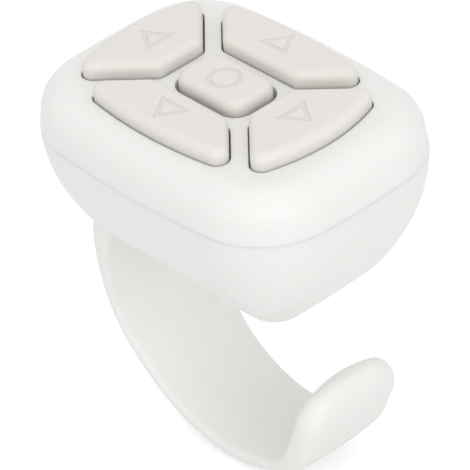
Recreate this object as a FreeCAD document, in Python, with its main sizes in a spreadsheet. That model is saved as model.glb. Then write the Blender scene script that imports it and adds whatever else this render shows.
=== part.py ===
import FreeCAD, Part
import math
import os

import Sketcher
from FreeCAD import Placement, Rotation, Vector

# A five-key remote control worn on a finger: a rounded two-part case with an open ring below it.
# All sizes are millimetres. The origin is the centre of the finger opening, +Z points to the keys,
# +X to the mouth of the ring and +Y along the finger, away from the knuckle.

SIZES = {
    # Case
    "bodyLength": 36.5,
    "bodyWidth": 27.2,
    "bodyDepth": 18.05,
    "bodyShift": -1.8,
    "faceHeight": 24.9,
    "topDepth": 4.9,
    "topTaper": 0.6,
    "faceRound": 3.2,
    "cornerRound": 8.3,
    "endBow": 108.0,
    "sideBow": 117.0,
    "bowlInset": 5.8,
    "bowlPower": 1.9,
    "bowlRound": 1.7,
    "wall": 1.4,
    "faceWall": 1.4,
    "shoulderRound": 1.0,
    "innerDepth": 12.35,
    "lipDepth": 1.1,
    "lipThickness": 0.6,
    "lipClearance": 0.05,
    "beadOut": 0.2,
    "beadRoot": 0.3,
    "beadHeight": 0.4,
    "beadDrop": 0.4,
    "sideBeadLength": 8.0,
    "endBeadLength": 6.0,
    "beadClearance": 0.1,
    # Finger opening and ring
    "seatRadius": 15.4,
    "seatHeight": 11.15,
    "seatShift": -2.4,
    "ringRadius": 13.3,
    "ringRootAngle": 130.0,
    "ringEndAngle": 294.0,
    "curlRadius": 4.2,
    "curlTurn": 50.0,
    "tipLength": 8.4,
    "ringThickness": 2.2,
    "ringInnerCrown": 0.65,
    "ringOuterCrown": 0.3,
    "rootThickness": 5.1,
    "tipThickness": 4.1,
    "ringRootWidth": 20.0,
    "ringMiddleWidth": 12.7,
    "ringEndWidth": 11.3,
    "tipWidth": 12.3,
    "ringInnerRound": 1.0,
    "ringOuterRound": 1.1,
    "tipInnerRound": 1.3,
    "tipOuterRound": 1.6,
    "tipInnerCrown": 1.3,
    "tipOuterCrown": 0.4,
    "tipRound": 1.9,
    "tipCornerRound": 4.6,
    "tipCrown": 4.2,
    # Keys
    "keypadShift": -0.4,
    "keyHeight": 1.6,
    "keyTravel": 0.3,
    "keyEdgeRound": 0.85,
    "keyCornerRound": 1.1,
    "keyClearance": 0.18,
    "bandAngle": 42.5,
    "bandStart": 1.7,
    "bandGap": 1.96,
    "sideKeyInner": 6.2,
    "sideKeyOuter": 12.1,
    "sideKeyBulge": 1.75,
    "endKeyInner": 4.4,
    "endKeyOuter": 9.05,
    "endKeyBulge": 1.05,
    "centreKeyLength": 9.0,
    "centreKeyWidth": 5.8,
    "centreKeyRound": 1.7,
    "centreKeyHeight": 1.3,
    "centreKeyClearance": 0.35,
    "flangeOverlap": 0.3,
    "flangeThickness": 0.7,
    "postRadius": 1.2,
    "sideSwitchOut": 9.8,
    "endSwitchOut": 7.0,
    "markDepth": 0.08,
    "markLine": 0.48,
    "markRadius": 1.5,
    "arrowBase": 2.95,
    "arrowHeight": 2.34,
    "sideArrowOut": 10.3,
    "endArrowOut": 7.6,
    # Circuit board and what stands on it
    "boardDrop": 5.2,
    "boardThickness": 1.0,
    "boardInset": 1.9,
    "bossRadius": 1.6,
    "bossRoot": 0.3,
    "bossFromEnd": 6.05,
    "bossFromSide": 6.4,
    "screwRadius": 0.7,
    "screwHeadRadius": 1.3,
    "screwHeadHeight": 0.7,
    "screwLength": 4.0,
    "screwHoleRadius": 0.85,
    "threadClearance": 0.02,
    "screwHoleSpare": 0.2,
    "slotWidth": 0.3,
    "slotDepth": 0.3,
    "slotLength": 1.8,
    "switchWidth": 3.5,
    "switchHeight": 1.3,
    "coverThickness": 0.2,
    "coverTab": 0.15,
    "coverTabWidth": 2.0,
    "coverTabDrop": 0.7,
    "recessRadius": 1.45,
    "domeSpare": 0.2,
    "plungerRadius": 0.8,
    "plungerSpare": 0.2,
    "plungerHole": 0.95,
    "footRadius": 1.15,
    "footThickness": 0.2,
    "footPlay": 0.05,
    "domeRadius": 1.35,
    "domeThickness": 0.08,
    # Charging inlet
    "portWidth": 8.94,
    "portHeight": 3.16,
    "portLength": 7.35,
    "portSheet": 0.3,
    "portRecess": 1.35,
    "portClearance": 0.2,
    "tongueWidth": 6.6,
    "tongueThickness": 0.7,
    "tongueLength": 4.6,
    "tongueBlock": 1.6,
    # Battery
    "batteryWidth": 12.0,
    "batteryEndGap": 0.6,
    "batteryThickness": 4.0,
    "batteryGap": 0.3,
    "foamThickness": 0.6,
    "foamMargin": 0.8,
    "batteryRound": 0.8,
    "leadRadius": 0.3,
    "leadBend": 2.0,
    "leadRun": 0.6,
    "leadGap": 1.3,
    # Chips and small parts
    "radioChip": 4.0,
    "radioHeight": 0.75,
    "chipOut": 5.2,
    "chipFromEdge": 6.3,
    "antennaFromEdge": 4.3,
    "crystalLength": 3.2,
    "crystalWidth": 2.5,
    "crystalHeight": 0.7,
    "antennaLength": 5.0,
    "antennaWidth": 2.0,
    "antennaHeight": 0.6,
    "chargerLength": 3.0,
    "chargerWidth": 3.0,
    "chargerHeight": 0.9,
    "chargerOut": 7.4,
    "chargerFromEdge": 5.1,
    "smallLength": 1.0,
    "smallWidth": 0.5,
    "smallHeight": 0.35,
    "smallPitch": 1.3,
}

document = FreeCAD.newDocument("finger_remote")
sheet = document.addObject("Spreadsheet::Sheet", "Sizes")
for row, (alias, number) in enumerate(SIZES.items(), start=1):
    sheet.set(f"A{row}", alias)
    sheet.set(f"B{row}", str(number))
    sheet.setAlias(f"B{row}", alias)
document.recompute()

# Heights and places that several pieces share, as sheet expressions.
FACE = "Sizes.faceHeight"
FACE_UNDERSIDE = "(Sizes.faceHeight - Sizes.faceWall)"
PARTING = "(Sizes.faceHeight - Sizes.topDepth)"
UNDERSIDE = "(Sizes.faceHeight - Sizes.bodyDepth)"
INNER_FLOOR = "(Sizes.faceHeight - Sizes.innerDepth)"
BOARD_TOP = "(Sizes.faceHeight - Sizes.boardDrop)"
BOARD_BOTTOM = "(Sizes.faceHeight - Sizes.boardDrop - Sizes.boardThickness)"
COVER_TOP = "(Sizes.faceHeight - Sizes.boardDrop + Sizes.switchHeight)"
COVER_UNDERSIDE = "(Sizes.faceHeight - Sizes.boardDrop + Sizes.switchHeight - Sizes.coverThickness)"
PLUNGER_TOP = COVER_TOP[:-1] + " + Sizes.keyTravel + Sizes.plungerSpare)"
DOME_TOP = COVER_UNDERSIDE[:-1] + " - Sizes.footPlay - Sizes.footThickness)"
RECESS_FLOOR = DOME_TOP[:-1] + " - Sizes.keyTravel - Sizes.domeSpare)"
PORT_MIDDLE = BOARD_BOTTOM[:-1] + " - Sizes.portHeight / 2)"
PORT_BACK = "(Sizes.bodyWidth / 2 - Sizes.portRecess - Sizes.portLength)"
BOARD_EDGE = "(Sizes.bodyWidth / 2 - Sizes.boardInset)"
BOSS_OUT = "(Sizes.bodyLength / 2 - Sizes.bossFromEnd)"
BOSS_ASIDE = "(Sizes.bodyWidth / 2 - Sizes.bossFromSide)"
BATTERY_LENGTH = "(Sizes.bodyLength - 2 * (Sizes.bossFromEnd + Sizes.bossRadius + Sizes.batteryEndGap))"
BATTERY_Y = PORT_BACK[:-1] + " - Sizes.batteryGap - Sizes.batteryWidth / 2)"
BODY_X = "Sizes.bodyShift"
KEYS_X = "(Sizes.bodyShift + Sizes.keypadShift)"

# Points closer together than this, in millimetres, count as one when edges are picked.
NEAR = 0.001

nodes = []


def value(expression):
    """The number that a sheet expression stands for."""
    return float(sheet.evalExpression(expression))


def node(thing, label):
    """Give a finished piece its name and list it for writing."""
    thing.Label = label
    nodes.append(thing)
    return thing


def new_body(label):
    body = document.addObject("PartDesign::Body", label + "_body")
    return node(body, label)


def new_sketch(body, role, lift=None):
    """An empty sketch on one of the body's own planes, moved along the plane's normal."""
    sketch = body.newObject("Sketcher::SketchObject", "Sketch")
    plane = next(item for item in body.Origin.OriginFeatures if item.Role == role)
    sketch.AttachmentSupport = [(plane, "")]
    sketch.MapMode = "FlatFace"
    if lift is not None:
        sketch.setExpression("AttachmentOffset.Base.z", lift)
    return sketch


def tie(sketch, constraint, expression):
    """Add a dimension to a sketch and bind it to the sheet."""
    index = sketch.addConstraint(constraint)
    name = f"size{index}"
    sketch.renameConstraint(index, name)
    sketch.setExpression("Constraints." + name, expression)


def chain(sketch, pieces, joint="Coincident"):
    """Add curves that follow one another round a closed outline, joined end to end."""
    first = sketch.GeometryCount
    for piece in pieces:
        sketch.addGeometry(piece, False)
    count = len(pieces)
    for index in range(count):
        here = first + index
        there = first + (index + 1) % count
        sketch.addConstraint(Sketcher.Constraint(joint, here, 2, there, 1))
    return first


def feature(body, kind, sketch, **settings):
    """A feature made from a sketch, with its lengths bound to the sheet."""
    made = body.newObject("PartDesign::" + kind, kind)
    made.Profile = sketch
    for name, setting in settings.items():
        if isinstance(setting, str) and not name.endswith("Type"):
            made.setExpression(name, setting)
        else:
            setattr(made, name, setting)
    document.recompute()
    return made


def add_loft(body, kind, sketches):
    loft = body.newObject("PartDesign::" + kind, kind)
    loft.Profile = sketches[0]
    loft.Sections = sketches[1:]
    document.recompute()
    return loft


def edges_where(shape, test):
    """Names of the edges whose every sampled point passes the test."""
    names = []
    for index, edge in enumerate(shape.Edges, start=1):
        first, last = edge.ParameterRange
        points = [edge.valueAt(first + (last - first) * step / 4) for step in range(5)]
        if all(test(point) for point in points):
            names.append(f"Edge{index}")
    return names


def add_fillet(body, base, names, radius):
    fillet = body.newObject("PartDesign::Fillet", "Fillet")
    fillet.Base = (base, names)
    fillet.setExpression("Radius", radius)
    document.recompute()
    return fillet


def rectangle(sketch, x, y, length, width):
    """A rectangle centred on x, y, with its corner and both sides bound to the sheet."""
    left = f"({x}) - ({length}) / 2"
    low = f"({y}) - ({width}) / 2"
    x0, y0 = value(left), value(low)
    x1, y1 = x0 + value(length), y0 + value(width)
    corners = [Vector(x0, y0), Vector(x1, y0), Vector(x1, y1), Vector(x0, y1)]
    lines = [Part.LineSegment(corners[k], corners[(k + 1) % 4]) for k in range(4)]
    first = chain(sketch, lines)
    for index, direction in enumerate(("Horizontal", "Vertical") * 2):
        sketch.addConstraint(Sketcher.Constraint(direction, first + index))
    tie(sketch, Sketcher.Constraint("DistanceX", first, 1, first, 2, x1 - x0), length)
    tie(sketch, Sketcher.Constraint("DistanceY", first + 1, 1, first + 1, 2, y1 - y0), width)
    tie(sketch, Sketcher.Constraint("DistanceX", -1, 1, first, 1, x0), left)
    tie(sketch, Sketcher.Constraint("DistanceY", -1, 1, first, 1, y0), low)


def rounded_rectangle(sketch, x, y, length, width, radius):
    """A rectangle centred on x, y with four equal round corners."""
    centre = Vector(value(x), value(y))
    round_off = value(radius)
    across = value(length) / 2 - round_off
    up = value(width) / 2 - round_off
    diagonal = round_off * math.sqrt(0.5)
    pieces = []
    spots = [(across, up), (-across, up), (-across, -up), (across, -up)]
    for index, (dx, dy) in enumerate(spots):
        spin = Rotation(Vector(0, 0, 1), 90 * index)
        middle = centre + Vector(dx, dy)
        start = middle + spin.multVec(Vector(round_off, 0))
        bend = middle + spin.multVec(Vector(diagonal, diagonal))
        finish = middle + spin.multVec(Vector(0, round_off))
        following = spots[(index + 1) % 4]
        next_start = centre + Vector(*following) + spin.multVec(Vector(0, round_off))
        pieces.append(Part.Arc(start, bend, finish))
        pieces.append(Part.LineSegment(finish, next_start))
    first = chain(sketch, pieces, "Tangent")
    for index in range(4):
        tie(sketch, Sketcher.Constraint("Radius", first + 2 * index, round_off), radius)
    right = f"{x} + {length} / 2 - {radius}"
    left = f"{x} - {length} / 2 + {radius}"
    top = f"{y} + {width} / 2 - {radius}"
    low = f"{y} - {width} / 2 + {radius}"
    tie(sketch, Sketcher.Constraint("DistanceX", -1, 1, first, 3, value(right)), right)
    tie(sketch, Sketcher.Constraint("DistanceX", -1, 1, first + 4, 3, value(left)), left)
    tie(sketch, Sketcher.Constraint("DistanceY", -1, 1, first, 3, value(top)), top)
    tie(sketch, Sketcher.Constraint("DistanceY", -1, 1, first + 4, 3, value(low)), low)


def circle(sketch, x, y, radius):
    centre = Vector(value(x), value(y))
    index = sketch.addGeometry(Part.Circle(centre, Vector(0, 0, 1), value(radius)), False)
    tie(sketch, Sketcher.Constraint("Radius", index, value(radius)), radius)
    tie(sketch, Sketcher.Constraint("DistanceX", -1, 1, index, 3, centre.x), x)
    tie(sketch, Sketcher.Constraint("DistanceY", -1, 1, index, 3, centre.y), y)


def slot(sketch, x, y, length, width):
    """A stadium lying along the sketch's x axis."""
    middle = Vector(value(x), value(y))
    radius = value(width) / 2
    reach = value(length) / 2 - radius
    right = middle + Vector(reach, 0)
    left = middle - Vector(reach, 0)
    up = Vector(0, radius)
    pieces = [
        Part.LineSegment(left - up, right - up),
        Part.Arc(right - up, right + Vector(radius, 0), right + up),
        Part.LineSegment(right + up, left + up),
        Part.Arc(left + up, left - Vector(radius, 0), left - up),
    ]
    first = chain(sketch, pieces)
    tie(sketch, Sketcher.Constraint("Radius", first + 1, radius), f"({width}) / 2")


# The case's outline: a rectangle whose four sides bow outwards and whose corners are round.
def outline_points(inset):
    """Arc ends and arc middles of one quarter of the outline, the inset moved in all round."""
    half_length = value("Sizes.bodyLength") / 2 - inset
    half_width = value("Sizes.bodyWidth") / 2 - inset
    end_radius = value("Sizes.endBow") - inset
    side_radius = value("Sizes.sideBow") - inset
    corner = value("Sizes.cornerRound") - inset
    end_centre = Vector(half_length - end_radius, 0)
    side_centre = Vector(0, half_width - side_radius)
    # The corner's centre lies at a known distance from both big arcs' centres.
    to_end = end_radius - corner
    to_side = side_radius - corner
    span = end_centre - side_centre
    distance = span.Length
    along = (to_side**2 - to_end**2 + distance**2) / (2 * distance)
    aside = math.sqrt(to_side**2 - along**2)
    unit = span / distance
    centre = side_centre + unit * along + Vector(unit.y, -unit.x) * aside
    end_touch = end_centre + (centre - end_centre) * (end_radius / to_end)
    side_touch = side_centre + (centre - side_centre) * (side_radius / to_side)
    outward = (end_touch + side_touch) * 0.5 - centre
    corner_middle = centre + outward * (corner / outward.Length)
    return half_length, half_width, end_touch, corner_middle, side_touch


def outline(sketch, inset):
    """Draw the outline in a sketch; the inset is a sheet expression."""
    half_length, half_width, end_touch, corner_middle, side_touch = outline_points(value(inset))
    shift = Vector(value(BODY_X), 0)

    def place(point, x_sign, y_sign):
        return Vector(point.x * x_sign, point.y * y_sign) + shift

    pieces = [
        Part.Arc(place(end_touch, 1, -1), Vector(half_length, 0) + shift, place(end_touch, 1, 1)),
        Part.Arc(place(end_touch, 1, 1), place(corner_middle, 1, 1), place(side_touch, 1, 1)),
        Part.Arc(place(side_touch, 1, 1), Vector(0, half_width) + shift, place(side_touch, -1, 1)),
        Part.Arc(place(side_touch, -1, 1), place(corner_middle, -1, 1), place(end_touch, -1, 1)),
        Part.Arc(place(end_touch, -1, 1), Vector(-half_length, 0) + shift, place(end_touch, -1, -1)),
        Part.Arc(place(end_touch, -1, -1), place(corner_middle, -1, -1), place(side_touch, -1, -1)),
        Part.Arc(place(side_touch, -1, -1), Vector(0, -half_width) + shift, place(side_touch, 1, -1)),
        Part.Arc(place(side_touch, 1, -1), place(corner_middle, 1, -1), place(end_touch, 1, -1)),
    ]
    first = chain(sketch, pieces, "Tangent")
    radii = ("endBow", "cornerRound", "sideBow", "cornerRound") * 2
    for index, name in enumerate(radii):
        size = f"Sizes.{name} - ({inset})"
        tie(sketch, Sketcher.Constraint("Radius", first + index, value(size)), size)
    along = "Sizes.bodyLength / 2 - Sizes.endBow"
    aside = "Sizes.bodyWidth / 2 - Sizes.sideBow"
    centres = (
        (f"{BODY_X} + {along}", "0"),
        (BODY_X, aside),
        (f"{BODY_X} - ({along})", "0"),
        (BODY_X, f"-({aside})"),
    )
    for index, (x, y) in enumerate(centres):
        tie(sketch, Sketcher.Constraint("DistanceX", -1, 1, first + 2 * index, 3, value(x)), x)
        tie(sketch, Sketcher.Constraint("DistanceY", -1, 1, first + 2 * index, 3, value(y)), y)


def outline_sketch(body, height, inset):
    sketch = new_sketch(body, "XY_Plane", height)
    outline(sketch, inset)
    return sketch


# Keys: four arrow keys round a centre key, parted by four slanting bands of the case's face.
# Each arrow key is drawn as if it pointed along +X and is then turned to its own side.
ARROW_KEYS = {
    "right": (0, "side"),
    "rear": (90, "end"),
    "left": (180, "side"),
    "front": (270, "end"),
}
KEY_NAMES = (*ARROW_KEYS, "centre")


def turned(point, angle):
    """A point of the +X key's drawing, turned about the middle of the key field."""
    return Rotation(Vector(0, 0, 1), angle).multVec(point) + Vector(value(KEYS_X), 0)


def key_side(kind, grow):
    """A point and the direction of a key's upper slanting side, moved outwards by grow."""
    angle = math.radians(value("Sizes.bandAngle"))
    shift = (value("Sizes.bandGap") / 2 - grow) / math.cos(angle)
    start = value("Sizes.bandStart")
    if kind == "side":
        return Vector(start, -shift), Vector(math.cos(angle), math.sin(angle))
    return Vector(shift, start), Vector(math.sin(angle), math.cos(angle))


def arrow_corners(name, grow):
    """Ends and middles of the upper two corner arcs, and the crown of the outer side."""
    kind = ARROW_KEYS[name][1]
    near = value(f"Sizes.{kind}KeyInner") - grow
    far = value(f"Sizes.{kind}KeyOuter")
    rise = value(f"Sizes.{kind}KeyBulge")
    corner = value("Sizes.keyCornerRound") + grow
    point, along = key_side(kind, 0)
    half = point.y + along.y * (far - point.x) / along.x
    bow = (half**2 + rise**2) / (2 * rise)
    centre = Vector(far + rise - bow, 0)
    bow += grow
    point, along = key_side(kind, grow)
    # The inner corner, between the inner side and the slanting side.
    tip = point + along * ((near - point.x) / along.x)
    half_angle = math.acos(-along.y) / 2
    cut = corner / math.tan(half_angle)
    bisector = (along + Vector(0, -1)).normalize()
    inner_middle = tip + bisector * (corner / math.sin(half_angle) - corner)
    inner = (tip + Vector(0, -cut), inner_middle, tip + along * cut)
    # The outer corner, between the slanting side and the bowed outer side.
    inward = Vector(along.y, -along.x)
    start = tip + inward * corner
    offset = start - centre
    dot = offset.dot(along)
    run = -dot + math.sqrt(dot**2 - offset.dot(offset) + (bow - corner) ** 2)
    middle = start + along * run
    on_side = tip + along * run
    on_bow = centre + (middle - centre) * (bow / (bow - corner))
    outward = ((on_side + on_bow) * 0.5 - middle).normalize()
    outer = (on_side, middle + outward * corner, on_bow)
    return inner, outer, centre + Vector(bow, 0)


def arrow_outline(sketch, name, margin="0"):
    """An arrow key's outline, grown all round by the margin."""
    angle, kind = ARROW_KEYS[name]
    inner, outer, crown = arrow_corners(name, value(margin))

    def upper(point):
        return turned(point, angle)

    def lower(point):
        return turned(Vector(point.x, -point.y), angle)

    pieces = [
        Part.LineSegment(upper(inner[0]), lower(inner[0])),
        Part.Arc(lower(inner[0]), lower(inner[1]), lower(inner[2])),
        Part.LineSegment(lower(inner[2]), lower(outer[0])),
        Part.Arc(lower(outer[0]), lower(outer[1]), lower(outer[2])),
        Part.Arc(lower(outer[2]), upper(crown), upper(outer[2])),
        Part.Arc(upper(outer[2]), upper(outer[1]), upper(outer[0])),
        Part.LineSegment(upper(outer[0]), upper(inner[2])),
        Part.Arc(upper(inner[2]), upper(inner[1]), upper(inner[0])),
    ]
    first = chain(sketch, pieces, "Tangent")
    radius = f"Sizes.keyCornerRound + ({margin})"
    for index in (1, 3, 5, 7):
        tie(sketch, Sketcher.Constraint("Radius", first + index, value(radius)), radius)
    reach = f"(Sizes.{kind}KeyInner - ({margin}))"
    base = KEYS_X if kind == "side" else "0"
    placed = f"{base} + {reach}" if angle < 180 else f"{base} - {reach}"
    direction = "DistanceX" if kind == "side" else "DistanceY"
    tie(sketch, Sketcher.Constraint(direction, -1, 1, first, 1, value(placed)), placed)


def centre_outline(sketch, margin="0"):
    """The centre key's outline, grown all round by the margin."""
    length = f"(Sizes.centreKeyLength + 2 * ({margin}))"
    width = f"(Sizes.centreKeyWidth + 2 * ({margin}))"
    radius = f"(Sizes.centreKeyRound + ({margin}))"
    rounded_rectangle(sketch, KEYS_X, "0", length, width, radius)


def key_outline(sketch, name, margin="0"):
    if name == "centre":
        centre_outline(sketch, margin)
    else:
        arrow_outline(sketch, name, margin)


def key_values(name):
    """A key's height above the face and its clearance in the window, as expressions."""
    if name == "centre":
        return "Sizes.centreKeyHeight", "Sizes.centreKeyClearance"
    return "Sizes.keyHeight", "Sizes.keyClearance"


def key_place(name):
    """Where a key's post, switch and dome stand, as x and y expressions."""
    places = {
        "centre": (KEYS_X, "0"),
        "right": (f"{KEYS_X} + Sizes.sideSwitchOut", "0"),
        "left": (f"{KEYS_X} - Sizes.sideSwitchOut", "0"),
        "rear": (KEYS_X, "Sizes.endSwitchOut"),
        "front": (KEYS_X, "-Sizes.endSwitchOut"),
    }
    return places[name]


def draw_mark(sketch, name):
    """A ring on the centre key, and on the others a triangle outline that points outwards."""
    if name == "centre":
        circle(sketch, KEYS_X, "0", "Sizes.markRadius + Sizes.markLine / 2")
        circle(sketch, KEYS_X, "0", "Sizes.markRadius - Sizes.markLine / 2")
        return
    angle, kind = ARROW_KEYS[name]
    middle = value(f"Sizes.{kind}ArrowOut")
    height = value("Sizes.arrowHeight")
    half_base = value("Sizes.arrowBase") / 2
    line = value("Sizes.markLine") / 2
    # Moving all three sides by the line's half-width scales the triangle about its incentre.
    side = math.hypot(height, half_base)
    inradius = half_base * height / (half_base + side)
    incentre = middle - height / 2 + inradius
    for offset in (line, -line):
        scale = (inradius + offset) / inradius
        tip = incentre + (height - inradius) * scale
        base = incentre - inradius * scale
        corners = [
            turned(Vector(tip, 0), angle),
            turned(Vector(base, half_base * scale), angle),
            turned(Vector(base, -half_base * scale), angle),
        ]
        chain(sketch, [Part.LineSegment(corners[k], corners[(k + 1) % 3]) for k in range(3)])


def make_key(name):
    label = "centre_key" if name == "centre" else f"{name}_arrow_key"
    body = new_body(label)
    height, clearance = key_values(name)
    cap = new_sketch(body, "XY_Plane", FACE_UNDERSIDE)
    key_outline(cap, name)
    solid = feature(body, "Pad", cap, Length=f"Sizes.faceWall + {height}")
    top = value(FACE) + value(height)
    rim = edges_where(solid.Shape, lambda point: abs(point.z - top) < NEAR)
    add_fillet(body, solid, rim, "Sizes.keyEdgeRound")
    flange = new_sketch(body, "XY_Plane", FACE_UNDERSIDE + " - Sizes.flangeThickness")
    key_outline(flange, name, f"{clearance} + Sizes.flangeOverlap")
    feature(body, "Pad", flange, Length="Sizes.flangeThickness")
    post = new_sketch(body, "XY_Plane", PLUNGER_TOP)
    circle(post, *key_place(name), "Sizes.postRadius")
    reach = f"{FACE_UNDERSIDE} - Sizes.flangeThickness - {PLUNGER_TOP}"
    feature(body, "Pad", post, Length=reach)
    mark = new_sketch(body, "XY_Plane", f"{FACE} + {height}")
    draw_mark(mark, name)
    feature(body, "Pocket", mark, Length="Sizes.markDepth")


# The upper half of the case: a shallow cap with five key windows and a lip that enters the bowl.
def make_top_shell():
    body = new_body("top_shell")
    lean = "-atan(Sizes.topTaper / Sizes.topDepth)"
    outside = outline_sketch(body, PARTING, "0")
    solid = feature(body, "Pad", outside, Length="Sizes.topDepth", TaperAngle=lean)
    top = value(FACE)
    rim = edges_where(solid.Shape, lambda point: abs(point.z - top) < NEAR)
    add_fillet(body, solid, rim, "Sizes.faceRound")
    inside = outline_sketch(body, PARTING, "Sizes.wall")
    depth = "Sizes.topDepth - Sizes.faceWall"
    solid = feature(body, "Pocket", inside, Length=depth, TaperAngle=lean, Reversed=True)
    ceiling = value(FACE_UNDERSIDE)
    rim = edges_where(solid.Shape, lambda point: abs(point.z - ceiling) < NEAR)
    add_fillet(body, solid, rim, "Sizes.shoulderRound")
    lip = new_sketch(body, "XY_Plane", f"{PARTING} - Sizes.lipDepth")
    outline(lip, "Sizes.wall - Sizes.lipThickness")
    outline(lip, "Sizes.wall")
    feature(body, "Pad", lip, Length="Sizes.lipDepth")
    bead_bottom = f"{PARTING} - Sizes.beadDrop - Sizes.beadHeight"
    beads = new_sketch(body, "XY_Plane", bead_bottom)
    draw_beads(beads, "0")
    feature(body, "Pad", beads, Length="Sizes.beadHeight")
    windows = new_sketch(body, "XY_Plane", FACE)
    for name in KEY_NAMES:
        key_outline(windows, name, key_values(name)[1])
    feature(body, "Pocket", windows, Type="ThroughAll")


def draw_beads(sketch, margin):
    """The four snap beads on the lip, or with a margin the grooves that they click into."""
    out = f"Sizes.beadOut + Sizes.beadRoot + {margin}"
    lip_face = "Sizes.wall - Sizes.lipThickness"
    off_lip = f"(Sizes.beadOut - Sizes.beadRoot + {margin}) / 2"
    aside = f"(Sizes.bodyWidth / 2 - ({lip_face}) + {off_lip})"
    along = f"(Sizes.bodyLength / 2 - ({lip_face}) + {off_lip})"
    for sign in ("", "-"):
        rectangle(sketch, BODY_X, sign + aside, f"Sizes.sideBeadLength + 2 * ({margin})", out)
        far = f"{BODY_X} + {along}" if sign == "" else f"{BODY_X} - {along}"
        rectangle(sketch, far, "0", out, f"Sizes.endBeadLength + 2 * ({margin})")


# The lower half of the case: a bowl with the finger seat below it and the open ring in one piece.
def bowl_inset(height):
    """How far the bowl's side has drawn in at a height, as an expression."""
    depth = f"(({PARTING} - ({height})) / (Sizes.bodyDepth - Sizes.topDepth))"
    return f"Sizes.bowlInset * {depth} ^ Sizes.bowlPower"


def bowl_loft(body, kind, floor, margin):
    """Four outlines from the parting line down to a floor, joined by a smooth skin."""
    sketches = []
    for share in (0, 1 / 3, 2 / 3, 1):
        height = f"({PARTING} - ({PARTING} - {floor}) * {share:.4f})"
        inset = f"{bowl_inset(height)} + {margin}" if share else margin
        sketches.append(outline_sketch(body, height, inset))
    return add_loft(body, kind, sketches)


# The ring is one skin over sections that stand across it, from its root to its open end.
RING_STEPS = 9
CURL_STEPS = 3
RUN_STEPS = 2
# Shares of the ring's length over which it is thicker, and over which it is wider, at its root.
THICK_ROOT_SHARE = 1 / 3
WIDE_ROOT_SHARE = 0.6
# The tip thickens and widens by this share in the curl, and by the rest in the straight run.
CURL_SHARE = 0.65
# Turns, in degrees, at which the rounded end is drawn; the last leaves a small flat.
END_TURNS = (25, 50, 75, 88)
# The section's two roundings take at most this share of its thickness.
RING_SIDE_ROUND = 0.92
EDGE_SIZES = ("InnerRound", "OuterRound", "InnerCrown", "OuterCrown")


def radial(angle):
    """The outward direction at an angle round the finger opening, measured from +X to +Z."""
    return Vector(math.cos(math.radians(angle)), 0, math.sin(math.radians(angle)))


def ring_width(share):
    """The ring's width at a share of the way from its root to its end."""
    back = 1 - share
    middle = value("Sizes.ringMiddleWidth")
    end = value("Sizes.ringEndWidth")
    taper = (middle - end) * min(1.0, 2 * back)
    wide = max(0.0, back - (1 - WIDE_ROOT_SHARE)) / WIDE_ROOT_SHARE
    return end + taper + (value("Sizes.ringRootWidth") - middle) * wide**1.5


def edge_shape(part):
    """The roundings and the crowns of the inner and outer face of the ring or its tip."""
    return tuple(value(f"Sizes.{part}{name}") for name in EDGE_SIZES)


def ring_stations():
    """Points on the ring's inner face: place, outward angle, width, thickness and edge shape."""
    radius = value("Sizes.ringRadius")
    root = value("Sizes.ringRootAngle")
    end = value("Sizes.ringEndAngle")
    thin = value("Sizes.ringThickness")
    ring_edge = edge_shape("ring")
    stations = []
    for step in range(RING_STEPS + 1):
        share = step / RING_STEPS
        angle = root + (end - root) * share
        swell = max(0.0, 1 - share / THICK_ROOT_SHARE) ** 2
        thickness = thin + (value("Sizes.rootThickness") - thin) * swell
        stations.append((radial(angle) * radius, angle, ring_width(share), thickness, ring_edge))
    curl = value("Sizes.curlRadius")
    turn = value("Sizes.curlTurn")
    centre = radial(end) * (radius - curl)
    thickening = value("Sizes.tipThickness") - thin
    end_width = value("Sizes.ringEndWidth")
    widening = value("Sizes.tipWidth") - end_width
    for step in range(1, CURL_STEPS + 1):
        angle = end + turn * step / CURL_STEPS
        share = CURL_SHARE * step / CURL_STEPS
        place = centre + radial(angle) * curl
        width = end_width + widening * share
        stations.append((place, angle, width, thin + thickening * share, ring_edge))
    angle = end + turn
    tip_edge = edge_shape("tip")
    straight = value("Sizes.tipLength - Sizes.tipCrown")
    for step in range(1, RUN_STEPS + 1):
        way = step / RUN_STEPS
        share = CURL_SHARE + (1 - CURL_SHARE) * way
        place = centre + radial(angle) * curl + radial(angle + 90) * (straight * way)
        width = end_width + widening * share
        edge = tuple(a + (b - a) * way for a, b in zip(ring_edge, tip_edge))
        stations.append((place, angle, width, thin + thickening * share, edge))
    return stations


def round_end(station):
    """Stations that draw the ring's end in along a quarter of an ellipse."""
    place, angle, width, thickness, edge = station
    stations = []
    for turn in END_TURNS:
        drawn_in = 1 - math.cos(math.radians(turn))
        inset = value("Sizes.tipRound") * drawn_in
        reach = value("Sizes.tipCrown") * math.sin(math.radians(turn))
        spot = place + radial(angle) * inset + radial(angle + 90) * reach
        end_width = width - 2 * value("Sizes.tipCornerRound") * drawn_in
        share = 1 - 2 * inset / thickness
        end_edge = tuple(size * share for size in edge)
        stations.append((spot, angle, end_width, thickness * share, end_edge))
    return stations


def side_rounding(crown, bow, half, radius, sign):
    """The rounding between a crowned face and a side: its start, its middle and its end."""
    reach = math.sqrt((bow - radius) ** 2 - (half - radius) ** 2)
    centre = crown + Vector(half - radius, sign * reach)
    on_face = crown + (centre - crown) * (bow / (bow - radius))
    on_side = centre + Vector(radius, 0)
    bend = centre + ((on_side + on_face) * 0.5 - centre).normalize() * radius
    return on_face, bend, on_side


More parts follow.
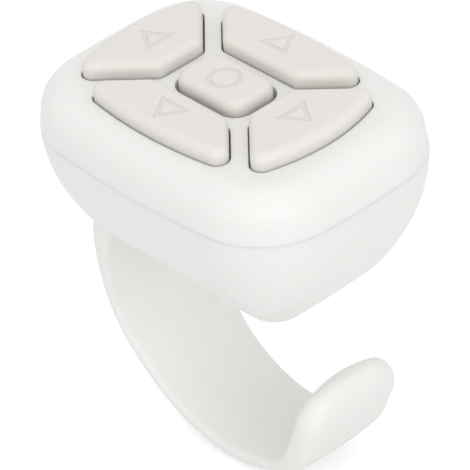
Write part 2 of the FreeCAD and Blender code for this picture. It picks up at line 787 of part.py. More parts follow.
def ring_section(body, place, angle, width, thickness, edge):
    """A section across the ring: both faces crowned and all four corners round."""
    half = width / 2
    radii = edge[:2]
    rises = edge[2:]
    bows = [(half**2 + rise**2) / (2 * rise) for rise in rises]
    needed = 0.0
    for radius, bow in zip(radii, bows):
        needed += radius * math.tan((math.pi / 2 - math.asin(half / bow)) / 2)
    limit = min(1.0, RING_SIDE_ROUND * (thickness - sum(rises)) / needed)
    inner, outer = (radius * limit for radius in radii)
    crown = Vector(0, bows[0])
    low_face, low_bend, low_side = side_rounding(crown, bows[0], half, inner, -1)
    crown = Vector(0, thickness - bows[1])
    high_face, high_bend, high_side = side_rounding(crown, bows[1], half, outer, 1)

    def left(point):
        return Vector(-point.x, point.y)

    pieces = [
        Part.Arc(left(low_face), Vector(0, 0), low_face),
        Part.Arc(low_face, low_bend, low_side),
        Part.LineSegment(low_side, high_side),
        Part.Arc(high_side, high_bend, high_face),
        Part.Arc(high_face, Vector(0, thickness), left(high_face)),
        Part.Arc(left(high_face), left(high_bend), left(high_side)),
        Part.LineSegment(left(high_side), left(low_side)),
        Part.Arc(left(low_side), left(low_bend), left(low_face)),
    ]
    sketch = new_sketch(body, "YZ_Plane")
    turn = Rotation(Vector(1, 0, 0), 90 - angle)
    sketch.AttachmentOffset = Placement(Vector(0, place.z, place.x), turn)
    chain(sketch, pieces)
    return sketch


def make_bottom_shell():
    body = new_body("bottom_shell")
    solid = bowl_loft(body, "AdditiveLoft", UNDERSIDE, "0")
    low = value(UNDERSIDE)
    rim = edges_where(solid.Shape, lambda point: abs(point.z - low) < NEAR)
    add_fillet(body, solid, rim, "Sizes.bowlRound")
    seat = new_sketch(body, "XZ_Plane")
    circle(seat, "Sizes.seatShift", "Sizes.seatHeight - Sizes.seatRadius", "Sizes.seatRadius")
    feature(body, "Pocket", seat, Type="ThroughAll", SideType="Symmetric")
    stations = ring_stations()
    stations += round_end(stations[-1])
    sections = [ring_section(body, *station) for station in stations]
    add_loft(body, "AdditiveLoft", sections)
    bowl_loft(body, "SubtractiveLoft", INNER_FLOOR, "Sizes.wall")
    rebate = new_sketch(body, "XY_Plane", PARTING)
    outline(rebate, "Sizes.wall - Sizes.lipThickness - Sizes.lipClearance")
    feature(body, "Pocket", rebate, Length="Sizes.lipDepth + 2 * Sizes.lipClearance")
    grooves = new_sketch(body, "XY_Plane", f"{PARTING} - Sizes.beadDrop + Sizes.beadClearance")
    draw_beads(grooves, "Sizes.beadClearance")
    feature(body, "Pocket", grooves, Length="Sizes.beadHeight + 2 * Sizes.beadClearance")
    bosses = new_sketch(body, "XY_Plane", f"{INNER_FLOOR} - Sizes.bossRoot")
    for x, y in boss_places():
        circle(bosses, x, y, "Sizes.bossRadius")
    feature(body, "Pad", bosses, Length=f"{BOARD_BOTTOM} - {INNER_FLOOR} + Sizes.bossRoot")
    holes = new_sketch(body, "XY_Plane", BOARD_BOTTOM)
    for x, y in boss_places():
        circle(holes, x, y, "Sizes.screwRadius + Sizes.threadClearance")
    deep = "Sizes.screwLength - Sizes.boardThickness + Sizes.screwHoleSpare"
    feature(body, "Pocket", holes, Length=deep)
    port = new_sketch(body, "XZ_Plane")
    around = "2 * Sizes.portClearance"
    slot(port, BODY_X, PORT_MIDDLE, f"Sizes.portWidth + {around}", f"Sizes.portHeight + {around}")
    feature(body, "Pocket", port, Type="ThroughAll")


def boss_places():
    """The four screw bosses' x and y, as expressions."""
    places = []
    for x_sign in ("+", "-"):
        for y_sign in ("", "-"):
            places.append((f"{BODY_X} {x_sign} {BOSS_OUT}", f"{y_sign}{BOSS_ASIDE}"))
    return places


# The case first, because every other piece takes its place from it.
make_top_shell()
make_bottom_shell()
for key_name in KEY_NAMES:
    make_key(key_name)


# Switches: five tact switches, each a base, a cover, a snap dome and a plunger with a foot.
def make_switch_bases():
    body = new_body("switch_bases")
    body.AllowCompound = True
    blocks = new_sketch(body, "XY_Plane", BOARD_TOP)
    wells = new_sketch(body, "XY_Plane", COVER_UNDERSIDE)
    for name in KEY_NAMES:
        x, y = key_place(name)
        rectangle(blocks, x, y, "Sizes.switchWidth", "Sizes.switchWidth")
        circle(wells, x, y, "Sizes.recessRadius")
    feature(body, "Pad", blocks, Length="Sizes.switchHeight - Sizes.coverThickness")
    feature(body, "Pocket", wells, Length=f"{COVER_UNDERSIDE} - {RECESS_FLOOR}")


def make_switch_covers():
    body = new_body("switch_covers")
    body.AllowCompound = True
    plates = new_sketch(body, "XY_Plane", COVER_UNDERSIDE)
    tabs = new_sketch(body, "XY_Plane", f"{COVER_UNDERSIDE} - Sizes.coverTabDrop")
    for name in KEY_NAMES:
        x, y = key_place(name)
        rectangle(plates, x, y, "Sizes.switchWidth", "Sizes.switchWidth")
        circle(plates, x, y, "Sizes.plungerHole")
        for sign in ("+", "-"):
            tab_y = f"({y}) {sign} (Sizes.switchWidth + Sizes.coverTab) / 2"
            rectangle(tabs, x, tab_y, "Sizes.coverTabWidth", "Sizes.coverTab")
    feature(body, "Pad", plates, Length="Sizes.coverThickness")
    feature(body, "Pad", tabs, Length="Sizes.coverTabDrop + Sizes.coverThickness")


def make_plunger(name):
    body = new_body(f"{name}_plunger")
    foot = new_sketch(body, "XY_Plane", DOME_TOP)
    circle(foot, *key_place(name), "Sizes.footRadius")
    feature(body, "Pad", foot, Length="Sizes.footThickness")
    pin = new_sketch(body, "XY_Plane", DOME_TOP)
    circle(pin, *key_place(name), "Sizes.plungerRadius")
    feature(body, "Pad", pin, Length=f"{PLUNGER_TOP} - {DOME_TOP}")


def make_dome(name):
    """A thin cap of a sphere, cut from two balls that share a centre."""
    x, y = key_place(name)
    rise = f"({DOME_TOP} - {RECESS_FLOOR})"
    ball = f"((Sizes.domeRadius ^ 2 + {rise} ^ 2) / (2 * {rise}))"
    shapes = []
    for radius in (ball, f"({ball} - Sizes.domeThickness)"):
        sphere = document.addObject("Part::Sphere", "Ball")
        sphere.setExpression("Radius", radius)
        sphere.setExpression("Placement.Base.x", x)
        sphere.setExpression("Placement.Base.y", y)
        sphere.setExpression("Placement.Base.z", f"{DOME_TOP} - {ball}")
        shapes.append(sphere)
    skin = document.addObject("Part::Cut", "Skin")
    skin.Base, skin.Tool = shapes
    above = document.addObject("Part::Box", "Above")
    for side in ("Length", "Width", "Height"):
        above.setExpression(side, "4 * Sizes.domeRadius")
    above.setExpression("Placement.Base.x", f"{x} - 2 * Sizes.domeRadius")
    above.setExpression("Placement.Base.y", f"{y} - 2 * Sizes.domeRadius")
    above.setExpression("Placement.Base.z", RECESS_FLOOR)
    dome = document.addObject("Part::Common", "Dome")
    dome.Base = skin
    dome.Tool = above
    node(dome, f"{name}_dome")


make_switch_bases()
make_switch_covers()
for key_name in KEY_NAMES:
    make_plunger(key_name)
    make_dome(key_name)


# The circuit board hangs its charging inlet underneath and carries the switches on top.
def make_circuit_board():
    body = new_body("circuit_board")
    plate = outline_sketch(body, BOARD_BOTTOM, "Sizes.boardInset")
    for x, y in boss_places():
        circle(plate, x, y, "Sizes.screwHoleRadius")
    feature(body, "Pad", plate, Length="Sizes.boardThickness")


def make_block(label, places, length, width, base, height):
    """One or more equal blocks in one piece of the list."""
    body = new_body(label)
    body.AllowCompound = True
    sketch = new_sketch(body, "XY_Plane", base)
    for x, y in places:
        rectangle(sketch, x, y, length, width)
    feature(body, "Pad", sketch, Length=height)
    return body


def beside_chip(count, gap):
    """Places of a row of small parts along the front of the radio chip."""
    row = f"{BOARD_EDGE} - Sizes.chipFromEdge - Sizes.radioChip / 2 - {gap} * Sizes.smallPitch"
    first = f"{KEYS_X} + Sizes.chipOut - {(count - 1) / 2} * Sizes.smallPitch"
    return [(f"{first} + {index} * Sizes.smallPitch", row) for index in range(count)]


def make_chips():
    chip_row = f"{BOARD_EDGE} - Sizes.chipFromEdge"
    place = [(f"{KEYS_X} + Sizes.chipOut", chip_row)]
    size = ("Sizes.radioChip", "Sizes.radioChip")
    make_block("bluetooth_chip", place, *size, BOARD_TOP, "Sizes.radioHeight")
    place = [(f"{KEYS_X} - Sizes.chipOut", chip_row)]
    size = ("Sizes.crystalLength", "Sizes.crystalWidth")
    make_block("crystal", place, *size, BOARD_TOP, "Sizes.crystalHeight")
    place = [(f"{KEYS_X} + Sizes.chipOut", f"Sizes.antennaFromEdge - {BOARD_EDGE}")]
    size = ("Sizes.antennaLength", "Sizes.antennaWidth")
    make_block("chip_antenna", place, *size, BOARD_TOP, "Sizes.antennaHeight")
    place = [(f"{KEYS_X} + Sizes.chargerOut", f"{BOARD_EDGE} - Sizes.chargerFromEdge")]
    size = ("Sizes.chargerLength", "Sizes.chargerWidth")
    base = f"{BOARD_BOTTOM} - Sizes.chargerHeight"
    make_block("charger_chip", place, *size, base, "Sizes.chargerHeight")
    small = ("Sizes.smallWidth", "Sizes.smallLength", BOARD_TOP, "Sizes.smallHeight")
    make_block("capacitors", beside_chip(4, 1), *small)
    make_block("resistors", beside_chip(3, 2), *small)


def make_usb_port():
    back = f"-{PORT_BACK}"
    mouth = f"({back} - Sizes.portLength)"
    shell = new_body("usb_c_shell")
    ring = new_sketch(shell, "XZ_Plane", mouth)
    slot(ring, BODY_X, PORT_MIDDLE, "Sizes.portWidth", "Sizes.portHeight")
    inner_width = "Sizes.portWidth - 2 * Sizes.portSheet"
    inner_height = "Sizes.portHeight - 2 * Sizes.portSheet"
    slot(ring, BODY_X, PORT_MIDDLE, inner_width, inner_height)
    feature(shell, "Pad", ring, Length="Sizes.portLength")
    tongue = new_body("usb_c_tongue")
    block = new_sketch(tongue, "XZ_Plane", f"{back} - Sizes.tongueBlock")
    slot(block, BODY_X, PORT_MIDDLE, inner_width, inner_height)
    feature(tongue, "Pad", block, Length="Sizes.tongueBlock")
    blade = new_sketch(tongue, "XZ_Plane", f"{back} - Sizes.tongueBlock - Sizes.tongueLength")
    rectangle(blade, BODY_X, PORT_MIDDLE, "Sizes.tongueWidth", "Sizes.tongueThickness")
    feature(tongue, "Pad", blade, Length="Sizes.tongueLength + Sizes.tongueBlock / 2")


def make_board_screws():
    body = new_body("board_screws")
    body.AllowCompound = True
    heads = new_sketch(body, "XY_Plane", BOARD_TOP)
    shanks = new_sketch(body, "XY_Plane", f"{BOARD_TOP} - Sizes.screwLength")
    slots = new_sketch(body, "XY_Plane", f"{BOARD_TOP} + Sizes.screwHeadHeight")
    for x, y in boss_places():
        circle(heads, x, y, "Sizes.screwHeadRadius")
        circle(shanks, x, y, "Sizes.screwRadius")
        draw_cross(slots, x, y)
    feature(body, "Pad", heads, Length="Sizes.screwHeadHeight")
    feature(body, "Pad", shanks, Length="Sizes.screwLength")
    feature(body, "Pocket", slots, Length="Sizes.slotDepth")


def draw_cross(sketch, x, y):
    """The cross recess of a screw head."""
    middle = Vector(value(x), value(y))
    long = value("Sizes.slotLength") / 2
    short = value("Sizes.slotWidth") / 2
    arm = [(long, -short), (long, short), (short, short)]
    corners = []
    for turn in range(4):
        spin = Rotation(Vector(0, 0, 1), 90 * turn)
        corners += [middle + spin.multVec(Vector(a, b)) for a, b in arm]
    chain(sketch, [Part.LineSegment(corners[k], corners[(k + 1) % 12]) for k in range(12)])


make_circuit_board()
make_chips()
make_usb_port()
make_board_screws()


# The battery lies on a foam pad in the bowl; two thin leads turn up to the board's underside.
def make_battery():
    place = [(BODY_X, BATTERY_Y)]
    foam_length = f"{BATTERY_LENGTH} - 2 * Sizes.foamMargin"
    foam_width = "Sizes.batteryWidth - 2 * Sizes.foamMargin"
    make_block("battery_foam", place, foam_length, foam_width, INNER_FLOOR, "Sizes.foamThickness")
    base = f"({INNER_FLOOR} + Sizes.foamThickness)"
    size = (BATTERY_LENGTH, "Sizes.batteryWidth")
    battery = make_block("battery_cell", place, *size, base, "Sizes.batteryThickness")
    block = battery.Tip
    full_length = value(BATTERY_LENGTH) - NEAR
    long_edges = []
    for index, edge in enumerate(block.Shape.Edges, start=1):
        if edge.BoundBox.XLength > full_length:
            long_edges.append(f"Edge{index}")
    add_fillet(battery, block, long_edges, "Sizes.batteryRound")


def make_lead(label, sign):
    """One battery lead: out of the cell's end, round a quarter bend and up to the board.

    The two leads run side by side, midway between the bosses at that end.
    """
    body = new_body(label)
    y = f"{sign}Sizes.leadGap"
    height = f"({INNER_FLOOR} + Sizes.foamThickness + Sizes.batteryThickness / 2)"
    start = f"({BODY_X} + {BATTERY_LENGTH} / 2)"
    route = new_sketch(body, "XZ_Plane", f"-({y})")
    z = value(height)
    x0 = value(start)
    x1 = x0 + value("Sizes.leadRun")
    bend = value("Sizes.leadBend")
    x2 = x1 + bend
    middle = Vector(x1 + bend * math.sqrt(0.5), z + bend * (1 - math.sqrt(0.5)))
    top = value(BOARD_BOTTOM)
    route.addGeometry(Part.LineSegment(Vector(x0, z), Vector(x1, z)), False)
    route.addGeometry(Part.Arc(Vector(x1, z), middle, Vector(x2, z + bend)), False)
    route.addGeometry(Part.LineSegment(Vector(x2, z + bend), Vector(x2, top)), False)
    for index in (0, 1):
        route.addConstraint(Sketcher.Constraint("Tangent", index, 2, index + 1, 1))
    route.addConstraint(Sketcher.Constraint("Horizontal", 0))
    route.addConstraint(Sketcher.Constraint("Vertical", 2))
    tie(route, Sketcher.Constraint("DistanceX", 0, 1, 0, 2, x1 - x0), "Sizes.leadRun")
    tie(route, Sketcher.Constraint("Radius", 1, bend), "Sizes.leadBend")
    tie(route, Sketcher.Constraint("DistanceX", -1, 1, 0, 1, x0), start)
    tie(route, Sketcher.Constraint("DistanceY", -1, 1, 0, 1, z), height)
    tie(route, Sketcher.Constraint("DistanceY", -1, 1, 2, 2, top), BOARD_BOTTOM)
    section = new_sketch(body, "YZ_Plane", start)
    circle(section, y, height, "Sizes.leadRadius")
    pipe = body.newObject("PartDesign::AdditivePipe", "Lead")
    pipe.Profile = section
    pipe.Spine = route
    document.recompute()
    length = route.Shape.Length
    area = math.pi * value("Sizes.leadRadius") ** 2
    ratio = pipe.Shape.Volume / (length * area)
    print(
        f"{label}: bend radius {bend} mm, length {length:.2f} mm, "
        f"volume / (section x length) {ratio:.4f}"
    )


make_battery()
make_lead("battery_lead_red", "")
make_lead("battery_lead_black", "-")


# Check every piece, then write one file for each.
document.recompute()
troubled = [thing.Name for thing in document.Objects if {"Invalid", "Error"} & set(thing.State)]
if troubled:
    raise RuntimeError("objects that did not come out: " + ", ".join(troubled))
os.makedirs("parts", exist_ok=True)
for thing in nodes:
    shape = thing.Shape
    if shape.isNull() or not shape.isValid():
        raise RuntimeError("this piece has no valid shape: " + thing.Label)
    shape.exportStep(os.path.join("parts", thing.Label + ".step"))
    box = shape.BoundBox
    print(
        f"{thing.Label}: {len(shape.Solids)} solids, {shape.Volume:.2f} mm3, "
        f"x {box.XMin:.2f}..{box.XMax:.2f} y {box.YMin:.2f}..{box.YMax:.2f} "
        f"z {box.ZMin:.2f}..{box.ZMax:.2f}"
    )
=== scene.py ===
import math

import bmesh
import bpy
from mathutils import Matrix, Vector


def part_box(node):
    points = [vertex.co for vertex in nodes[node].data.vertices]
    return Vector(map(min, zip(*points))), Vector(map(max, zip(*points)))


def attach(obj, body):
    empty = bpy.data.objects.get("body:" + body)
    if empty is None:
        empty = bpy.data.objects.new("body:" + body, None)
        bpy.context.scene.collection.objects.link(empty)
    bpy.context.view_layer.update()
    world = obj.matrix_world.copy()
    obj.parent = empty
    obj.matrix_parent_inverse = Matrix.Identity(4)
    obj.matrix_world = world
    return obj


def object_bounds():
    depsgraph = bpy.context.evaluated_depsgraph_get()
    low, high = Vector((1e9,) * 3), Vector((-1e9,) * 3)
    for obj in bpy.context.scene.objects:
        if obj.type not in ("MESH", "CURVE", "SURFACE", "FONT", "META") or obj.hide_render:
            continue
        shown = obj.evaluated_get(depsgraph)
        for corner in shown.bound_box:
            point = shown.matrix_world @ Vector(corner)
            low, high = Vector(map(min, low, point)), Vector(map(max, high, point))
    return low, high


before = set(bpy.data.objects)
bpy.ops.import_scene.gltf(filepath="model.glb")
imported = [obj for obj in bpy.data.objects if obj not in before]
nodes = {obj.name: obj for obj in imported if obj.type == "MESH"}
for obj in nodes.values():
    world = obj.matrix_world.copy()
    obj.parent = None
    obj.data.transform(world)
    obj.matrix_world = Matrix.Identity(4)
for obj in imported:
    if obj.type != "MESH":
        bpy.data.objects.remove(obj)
cad_low, cad_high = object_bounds()

MM = 0.001

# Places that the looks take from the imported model.
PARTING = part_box("bottom_shell")[1].z
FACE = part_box("top_shell")[1].z
FINGER_RADIUS = 13.3 * MM
MARK_DEPTH = 0.08 * MM
MARK_FLOORS = [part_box(name)[1].z - MARK_DEPTH for name in ("right_arrow_key", "centre_key")]


def seen_directly(tree):
    """1 for what the camera sees, straight or in a reflection or through glass, and 0 for light."""
    rays = tree.nodes.new("ShaderNodeLightPath")
    total = rays.outputs["Is Camera Ray"]
    for name in ("Is Glossy Ray", "Is Transmission Ray"):
        made = tree.nodes.new("ShaderNodeMath")
        made.operation = "ADD"
        made.use_clamp = True
        tree.links.new(total, made.inputs[0])
        tree.links.new(rays.outputs[name], made.inputs[1])
        total = made.outputs[0]
    return total


def with_alpha(value):
    """A node's output as it is, or a plain colour made opaque."""
    if isinstance(value, bpy.types.NodeSocket):
        return value
    return (*value, 1)


class Look:
    """One material: a principled shader with the few kinds of nodes that the finishes share."""

    def __init__(self, name, roughness, metal=0.0):
        self.material = bpy.data.materials.new(name)
        self.material.use_nodes = True
        self.tree = self.material.node_tree
        self.shader = self.tree.nodes["Principled BSDF"]
        self.shader.inputs["Roughness"].default_value = roughness
        self.shader.inputs["Metallic"].default_value = metal
        self.place = self.add("ShaderNodeTexCoord").outputs["Object"]

    def add(self, kind, **settings):
        made = self.tree.nodes.new(kind)
        for name, setting in settings.items():
            setattr(made, name, setting)
        return made

    def put(self, socket, value):
        """Link an output to a socket, or set the socket's own value."""
        if isinstance(value, bpy.types.NodeSocket):
            self.tree.links.new(value, socket)
        else:
            socket.default_value = value

    def math(self, operation, first, second=0.0, third=0.0):
        made = self.add("ShaderNodeMath", operation=operation)
        for index, value in enumerate((first, second, third)):
            self.put(made.inputs[index], value)
        return made.outputs[0]

    def stretched(self, x, y, z):
        """The place with its three axes scaled apart."""
        made = self.add("ShaderNodeMapping")
        self.put(made.inputs["Vector"], self.place)
        made.inputs["Scale"].default_value = (x, y, z)
        return made.outputs[0]

    def noise(self, size, detail=2.0, place=None):
        """Noise whose features are about this size in metres."""
        made = self.add("ShaderNodeTexNoise")
        self.put(made.inputs["Vector"], place or self.place)
        made.inputs["Scale"].default_value = 1 / size
        made.inputs["Detail"].default_value = detail
        return made.outputs["Fac"]

    def spread(self, value, low, high, to_low=0.0, to_high=1.0):
        """Map the range low..high onto to_low..to_high, clamped."""
        made = self.add("ShaderNodeMapRange")
        for socket, number in zip(made.inputs, (value, low, high, to_low, to_high)):
            self.put(socket, number)
        return made.outputs[0]

    def mixed(self, factor, first, second):
        """The first colour where the factor is 0, and the second where it is 1."""
        made = self.add("ShaderNodeMix", data_type="RGBA")
        self.put(made.inputs[0], factor)
        self.put(made.inputs[6], with_alpha(first))
        self.put(made.inputs[7], with_alpha(second))
        return made.outputs[2]

    def axis(self, name, vector=None):
        """One coordinate of the place, in metres, or of another vector."""
        made = self.add("ShaderNodeSeparateXYZ")
        self.put(made.inputs[0], vector or self.place)
        return made.outputs[name]

    def near(self, value, middle, reach):
        """1 where the value is at the middle, falling to 0 at the reach on both sides."""
        away = self.math("ABSOLUTE", self.math("SUBTRACT", value, middle))
        return self.spread(away, 0.0, reach, 1.0, 0.0)

    def colour(self, value):
        self.put(self.shader.inputs["Base Color"], with_alpha(value))

    def rough(self, value, low, high):
        """Roughness from low to high over the middle half of a noise's range."""
        self.put(self.shader.inputs["Roughness"], self.spread(value, 0.25, 0.75, low, high))

    def bump(self, height, depth, normal=None):
        """Raise or sink the surface; depth is the height's full swing in metres."""
        made = self.add("ShaderNodeBump")
        made.inputs["Strength"].default_value = 1.0
        made.inputs["Distance"].default_value = depth
        self.put(made.inputs["Height"], height)
        if normal is not None:
            self.put(made.inputs["Normal"], normal)
        self.put(self.shader.inputs["Normal"], made.outputs[0])
        return made.outputs[0]

    def softened(self, radius):
        """A normal that rounds every edge by this radius in metres."""
        made = self.add("ShaderNodeBevel", samples=6)
        self.put(made.inputs["Radius"], radius)
        return made.outputs[0]


def mould_line(look):
    """1 on the fine line that the mould leaves along the middle of the ring's inner face."""
    x, y, z = (look.axis(name) for name in "XYZ")
    squares = [look.math("POWER", part, 2.0) for part in (x, z)]
    out = look.math("SQRT", look.math("ADD", *squares))
    inside = look.near(out, FINGER_RADIUS, 0.2 * MM)
    return look.math("MULTIPLY", look.near(y, 0.0, 0.11 * MM), inside)


def case_plastic():
    """Satin white moulded shell: fine grain, a faint parting line, a mould line and soft edges."""
    look = Look("case_plastic", 0.4)
    cloud = look.noise(9 * MM, 3)
    tint = look.mixed(cloud, (0.87, 0.86, 0.84), (0.89, 0.881, 0.863))
    height = look.axis("Z")
    seam = look.near(height, PARTING, 0.06 * MM)
    tint = look.mixed(look.math("MULTIPLY", seam, 0.03), tint, (0.42, 0.41, 0.4))
    line = mould_line(look)
    tint = look.mixed(look.math("MULTIPLY", line, 0.4), tint, (0.97, 0.965, 0.95))
    look.colour(tint)
    look.rough(look.noise(1.2 * MM, 4), 0.34, 0.46)
    by_seam = look.near(height, PARTING, 0.4 * MM)
    # Edges are rounded less near the parting line, where the two halves meet closely.
    edge = look.spread(by_seam, 0.0, 1.0, 0.16 * MM, 0.03 * MM)
    normal = look.bump(look.noise(0.16 * MM, 2), 0.0012 * MM, look.softened(edge))
    normal = look.bump(line, 0.01 * MM, normal)
    look.bump(look.math("MULTIPLY", seam, -1.0), 0.003 * MM, normal)
    look.shader.inputs["Subsurface Weight"].default_value = 0.2
    look.shader.inputs["Subsurface Radius"].default_value = (1.0, 0.9, 0.75)
    look.shader.inputs["Subsurface Scale"].default_value = 1.2 * MM
    return look.material


def key_plastic():
    """Warm light grey matt key: fine grain, painted shade that greys the sides towards their foot
    at the face, and a slightly darker engraved mark.
    """
    look = Look("key_plastic", 0.5)
    cloud = look.noise(5 * MM, 3)
    tint = look.mixed(cloud, (0.80, 0.772, 0.728), (0.83, 0.804, 0.763))
    height = look.axis("Z")
    arrow, ring = (look.near(height, floor, MARK_DEPTH / 2) for floor in MARK_FLOORS)
    flat = look.add("ShaderNodeNewGeometry").outputs["True Normal"]
    level = look.spread(look.axis("Z", flat), 0.97, 0.99)
    mark = look.math("MULTIPLY", look.math("MAXIMUM", arrow, ring), level)
    tint = look.mixed(look.math("MULTIPLY", mark, 0.16), tint, (0.5, 0.48, 0.45))
    # Painted shade: the key's sides are greyed towards their foot at the face, where the gap's
    # shade falls.
    painted_foot_shade = look.spread(height, FACE, FACE + 1.1 * MM, 0.4, 0.0)
    look.colour(look.mixed(painted_foot_shade, tint, (0.5, 0.51, 0.48)))
    look.rough(look.noise(0.9 * MM, 4), 0.44, 0.58)
    look.bump(look.noise(0.12 * MM, 2), 0.002 * MM, look.softened(0.06 * MM))
    return look.material


def moulded(name, colour, light, roughness, grain=0.1):
    """Plain moulded plastic, ceramic or epoxy: clouded colour and a fine grain."""
    look = Look(name, roughness)
    look.colour(look.mixed(look.noise(1.5 * MM, 4), colour, light))
    look.rough(look.noise(0.4 * MM, 3), roughness - 0.06, roughness + 0.08)
    look.bump(look.noise(grain * MM, 3), 0.004 * MM)
    return look.material


def metal(name, colour, light, roughness, grain=(40, 1, 1)):
    """Plated or rolled metal with fine drawn lines."""
    look = Look(name, roughness, 1.0)
    lines = look.noise(0.6 * MM, 4, look.stretched(*grain))
    look.colour(look.mixed(lines, colour, light))
    look.rough(lines, roughness - 0.08, roughness + 0.1)
    look.bump(lines, 0.0015 * MM)
    return look.material


def board_green():
    """Solder mask over copper, with the traces as a raised, lighter net."""
    look = Look("circuit_board", 0.35)
    cells = look.add("ShaderNodeTexVoronoi", feature="DISTANCE_TO_EDGE", distance="MANHATTAN")
    look.put(cells.inputs["Vector"], look.place)
    cells.inputs["Scale"].default_value = 1 / (2.2 * MM)
    trace = look.spread(cells.outputs["Distance"], 0.03, 0.06, 1.0, 0.0)
    mask = look.mixed(look.noise(4 * MM, 3), (0.02, 0.14, 0.06), (0.03, 0.19, 0.085))
    look.colour(look.mixed(trace, mask, (0.05, 0.3, 0.13)))
    look.rough(look.noise(0.8 * MM, 3), 0.28, 0.42)
    look.bump(trace, 0.03 * MM)
    return look.material


def end_capped(name, body, light, node_name):
    """Tiny chip parts, side by side, whose two ends along Y are tinned."""
    low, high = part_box(node_name)
    look = Look(name, 0.4)
    along = look.math("SUBTRACT", look.axis("Y"), low.y)
    share = look.math("FRACT", look.math("DIVIDE", along, high.y - low.y))
    ends = look.spread(look.math("ABSOLUTE", look.math("SUBTRACT", share, 0.5)), 0.26, 0.28)
    look.colour(look.mixed(ends, look.mixed(look.noise(0.5 * MM, 3), body, light), (0.7, 0.7, 0.7)))
    look.put(look.shader.inputs["Metallic"], ends)
    look.bump(look.noise(0.1 * MM, 3), 0.003 * MM)
    return look.material


def foil():
    """Battery pouch: soft silver foil with small wrinkles."""
    look = Look("battery_pouch", 0.35, 1.0)
    wrinkle = look.noise(2.5 * MM, 5)
    look.colour(look.mixed(wrinkle, (0.6, 0.61, 0.63), (0.78, 0.79, 0.8)))
    look.rough(wrinkle, 0.25, 0.5)
    look.bump(wrinkle, 0.08 * MM)
    return look.material


def foam():
    """Black foam pad with open cells."""
    look = Look("foam", 0.9)
    cells = look.add("ShaderNodeTexVoronoi")
    look.put(cells.inputs["Vector"], look.place)
    cells.inputs["Scale"].default_value = 1 / (0.25 * MM)
    look.colour(look.mixed(cells.outputs["Distance"], (0.03, 0.03, 0.033), (0.09, 0.09, 0.095)))
    look.bump(cells.outputs["Distance"], 0.06 * MM)
    return look.material


def dress(material, *names):
    """Give CAD nodes their finish."""
    for name in names:
        slots = nodes[name].data.materials
        if len(slots) == 0:
            slots.append(material)
        for index in range(len(slots)):
            slots[index] = material


KEYS = ("right", "rear", "left", "front", "centre")
PLUNGERS = [f"{name}_plunger" for name in KEYS]
DOMES = [f"{name}_dome" for name in KEYS]
ARROW_KEYS = [f"{name}_arrow_key" for name in KEYS[:4]]

# Case and keys.
dress(case_plastic(), "top_shell", "bottom_shell")
dress(key_plastic(), *ARROW_KEYS, "centre_key")

# Switches.
dress(moulded("switch_housing", (0.02, 0.02, 0.022), (0.035, 0.035, 0.037), 0.45), "switch_bases")
dress(metal("switch_cover", (0.55, 0.56, 0.58), (0.72, 0.73, 0.74), 0.3), "switch_covers")
dress(moulded("switch_plunger", (0.2, 0.09, 0.04), (0.27, 0.13, 0.065), 0.5), *PLUNGERS)
dress(metal("snap_dome", (0.6, 0.59, 0.56), (0.76, 0.75, 0.72), 0.22), *DOMES)

# Circuit board and what stands on it.
dress(board_green(), "circuit_board")
chip_package = moulded("chip_package", (0.018, 0.018, 0.02), (0.03, 0.03, 0.032), 0.5)
dress(chip_package, "bluetooth_chip", "charger_chip")
dress(metal("crystal_can", (0.6, 0.6, 0.57), (0.75, 0.75, 0.72), 0.28), "crystal")
dress(moulded("antenna_ceramic", (0.7, 0.68, 0.62), (0.8, 0.78, 0.73), 0.45), "chip_antenna")
capacitor_body = end_capped("capacitor_body", (0.35, 0.2, 0.1), (0.45, 0.28, 0.15), "capacitors")
dress(capacitor_body, "capacitors")
resistor_body = end_capped("resistor_body", (0.02, 0.02, 0.02), (0.04, 0.04, 0.04), "resistors")
dress(resistor_body, "resistors")
dress(metal("screw_steel", (0.4, 0.41, 0.43), (0.6, 0.61, 0.62), 0.32), "board_screws")

# Charging inlet and battery.
dress(metal("port_steel", (0.5, 0.51, 0.53), (0.68, 0.69, 0.71), 0.3, (1, 30, 1)), "usb_c_shell")
dress(moulded("port_plastic", (0.015, 0.015, 0.015), (0.03, 0.03, 0.03), 0.45), "usb_c_tongue")
dress(foil(), "battery_cell")
dress(foam(), "battery_foam")
dress(moulded("lead_red", (0.4, 0.01, 0.01), (0.5, 0.02, 0.02), 0.5), "battery_lead_red")
dress(moulded("lead_black", (0.01, 0.01, 0.01), (0.02, 0.02, 0.02), 0.5), "battery_lead_black")


def add_contacts():
    """The charging inlet's gold contacts: a row of thin pads on each side of the tongue."""
    low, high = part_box("usb_c_tongue")
    middle = (low + high) / 2
    count = 12
    pitch = 0.5 * MM
    width = 0.26 * MM
    length = 3.2 * MM
    proud = 0.02 * MM
    half_tongue = 0.35 * MM
    tip = high.y - 0.7 * MM
    edge_round = 0.012 * MM
    mesh = bpy.data.meshes.new("usb_c_contacts")
    build = bmesh.new()
    for side in (-1, 1):
        for index in range(count):
            x = middle.x + (index - (count - 1) / 2) * pitch
            pad = bmesh.ops.create_cube(build, size=1.0)["verts"]
            bmesh.ops.scale(build, verts=pad, vec=(width, length, 2 * proud))
            spot = (x, tip - length / 2, middle.z + side * half_tongue)
            bmesh.ops.translate(build, verts=pad, vec=spot)
    bmesh.ops.bevel(
        build, geom=build.edges[:], offset=edge_round, segments=2, affect="EDGES", profile=0.5
    )
    build.to_mesh(mesh)
    build.free()
    contacts = bpy.data.objects.new("usb_c_contacts", mesh)
    bpy.context.scene.collection.objects.link(contacts)
    gold = metal("contact_gold", (0.75, 0.52, 0.2), (0.9, 0.66, 0.3), 0.25, (1, 20, 1))
    mesh.materials.append(gold)
    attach(contacts, "case")


add_contacts()


# Stage: a pale floor under the ring and soft light from all round. The world's and the lamps'
# levels are the brightness that each gives a white face turned to it. The floor's glow is added
# only where the floor is seen directly.
WORLD_LEVEL = 0.8
TOP_LEVEL = 0.1
FRONT_LEVEL = 0.35
FLOOR_GLOW = 0.45
LAMP_DISTANCE = 0.8


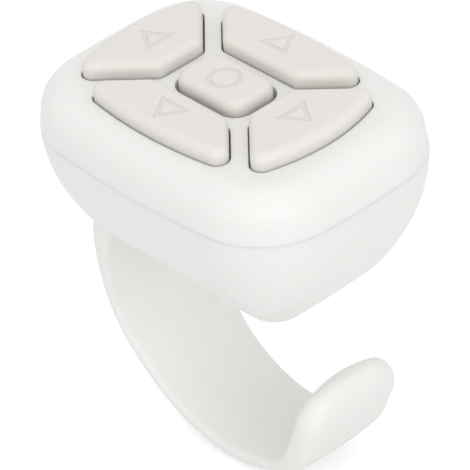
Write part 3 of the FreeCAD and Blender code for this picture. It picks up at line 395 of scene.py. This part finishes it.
def add_floor():
    """A large pale square, just under the object."""
    mesh = bpy.data.meshes.new("floor")
    half = 1.5
    height = cad_low.z - 0.2 * MM
    signs = ((-1, -1), (1, -1), (1, 1), (-1, 1))
    mesh.from_pydata([(x * half, y * half, height) for x, y in signs], [], [(0, 1, 2, 3)])
    floor = bpy.data.objects.new("floor", mesh)
    bpy.context.scene.collection.objects.link(floor)
    look = Look("floor", 0.9)
    look.colour(look.mixed(look.noise(0.1, 2), (0.74, 0.74, 0.74), (0.78, 0.78, 0.78)))
    look.shader.inputs["Emission Color"].default_value = (1, 1, 1, 1)
    glow = look.math("MULTIPLY", seen_directly(look.tree), FLOOR_GLOW)
    look.put(look.shader.inputs["Emission Strength"], glow)
    mesh.materials.append(look.material)


def add_world():
    """Even white light, with a full white backdrop where it is seen directly."""
    world = bpy.data.worlds.new("studio")
    bpy.context.scene.world = world
    world.use_nodes = True
    tree = world.node_tree
    back = tree.nodes["Background"]
    back.inputs["Color"].default_value = (1, 1, 1, 1)
    level = tree.nodes.new("ShaderNodeMapRange")
    level.inputs["To Min"].default_value = WORLD_LEVEL
    level.inputs["To Max"].default_value = 1.0
    tree.links.new(seen_directly(tree), level.inputs["Value"])
    tree.links.new(level.outputs[0], back.inputs["Strength"])


def direction(azimuth, elevation):
    """The way from the object to a lamp or the camera; 0 degrees round is the front."""
    turn = math.radians(azimuth)
    rise = math.radians(elevation)
    level = math.cos(rise)
    return Vector((math.sin(turn) * level, -math.cos(turn) * level, math.sin(rise)))


def add_softbox(name, azimuth, elevation, size, level):
    """A square lamp aimed at the object."""
    back = direction(azimuth, elevation)
    data = bpy.data.lights.new(name, "AREA")
    data.size = size
    data.energy = level * math.pi**2 * LAMP_DISTANCE**2
    lamp = bpy.data.objects.new(name, data)
    bpy.context.scene.collection.objects.link(lamp)
    lamp.location = back * LAMP_DISTANCE
    lamp.rotation_mode = "QUATERNION"
    lamp.rotation_quaternion = back.to_track_quat("Z", "Y")


def add_camera():
    """The photograph's view: from the front right corner and above, turned a little clockwise."""
    target = Vector((15.532, -15.482, 24.9)) * MM
    azimuth = 50.01
    roll = math.radians(5.50)
    distance = 358.6 * MM
    back = direction(azimuth, 35.84)
    turn = math.radians(azimuth)
    right = Vector((math.cos(turn), math.sin(turn), 0))
    up = back.cross(right)
    turned_up = up * math.cos(roll) + right * math.sin(roll)
    turned_right = turned_up.cross(back)
    data = bpy.data.cameras.new("camera")
    data.sensor_width = 36
    data.lens = 306.4
    data.clip_start = 0.01
    data.clip_end = 10
    camera = bpy.data.objects.new("camera", data)
    bpy.context.scene.collection.objects.link(camera)
    axes = Matrix((turned_right, turned_up, back)).transposed()
    camera.matrix_world = Matrix.Translation(target + back * distance) @ axes.to_4x4()
    bpy.context.scene.camera = camera


add_floor()
add_world()
add_softbox("top_light", azimuth=50, elevation=80, size=0.5, level=TOP_LEVEL)
add_softbox("front_light", azimuth=58, elevation=15, size=0.8, level=FRONT_LEVEL)
add_camera()
bpy.context.scene.view_settings.view_transform = "Standard"
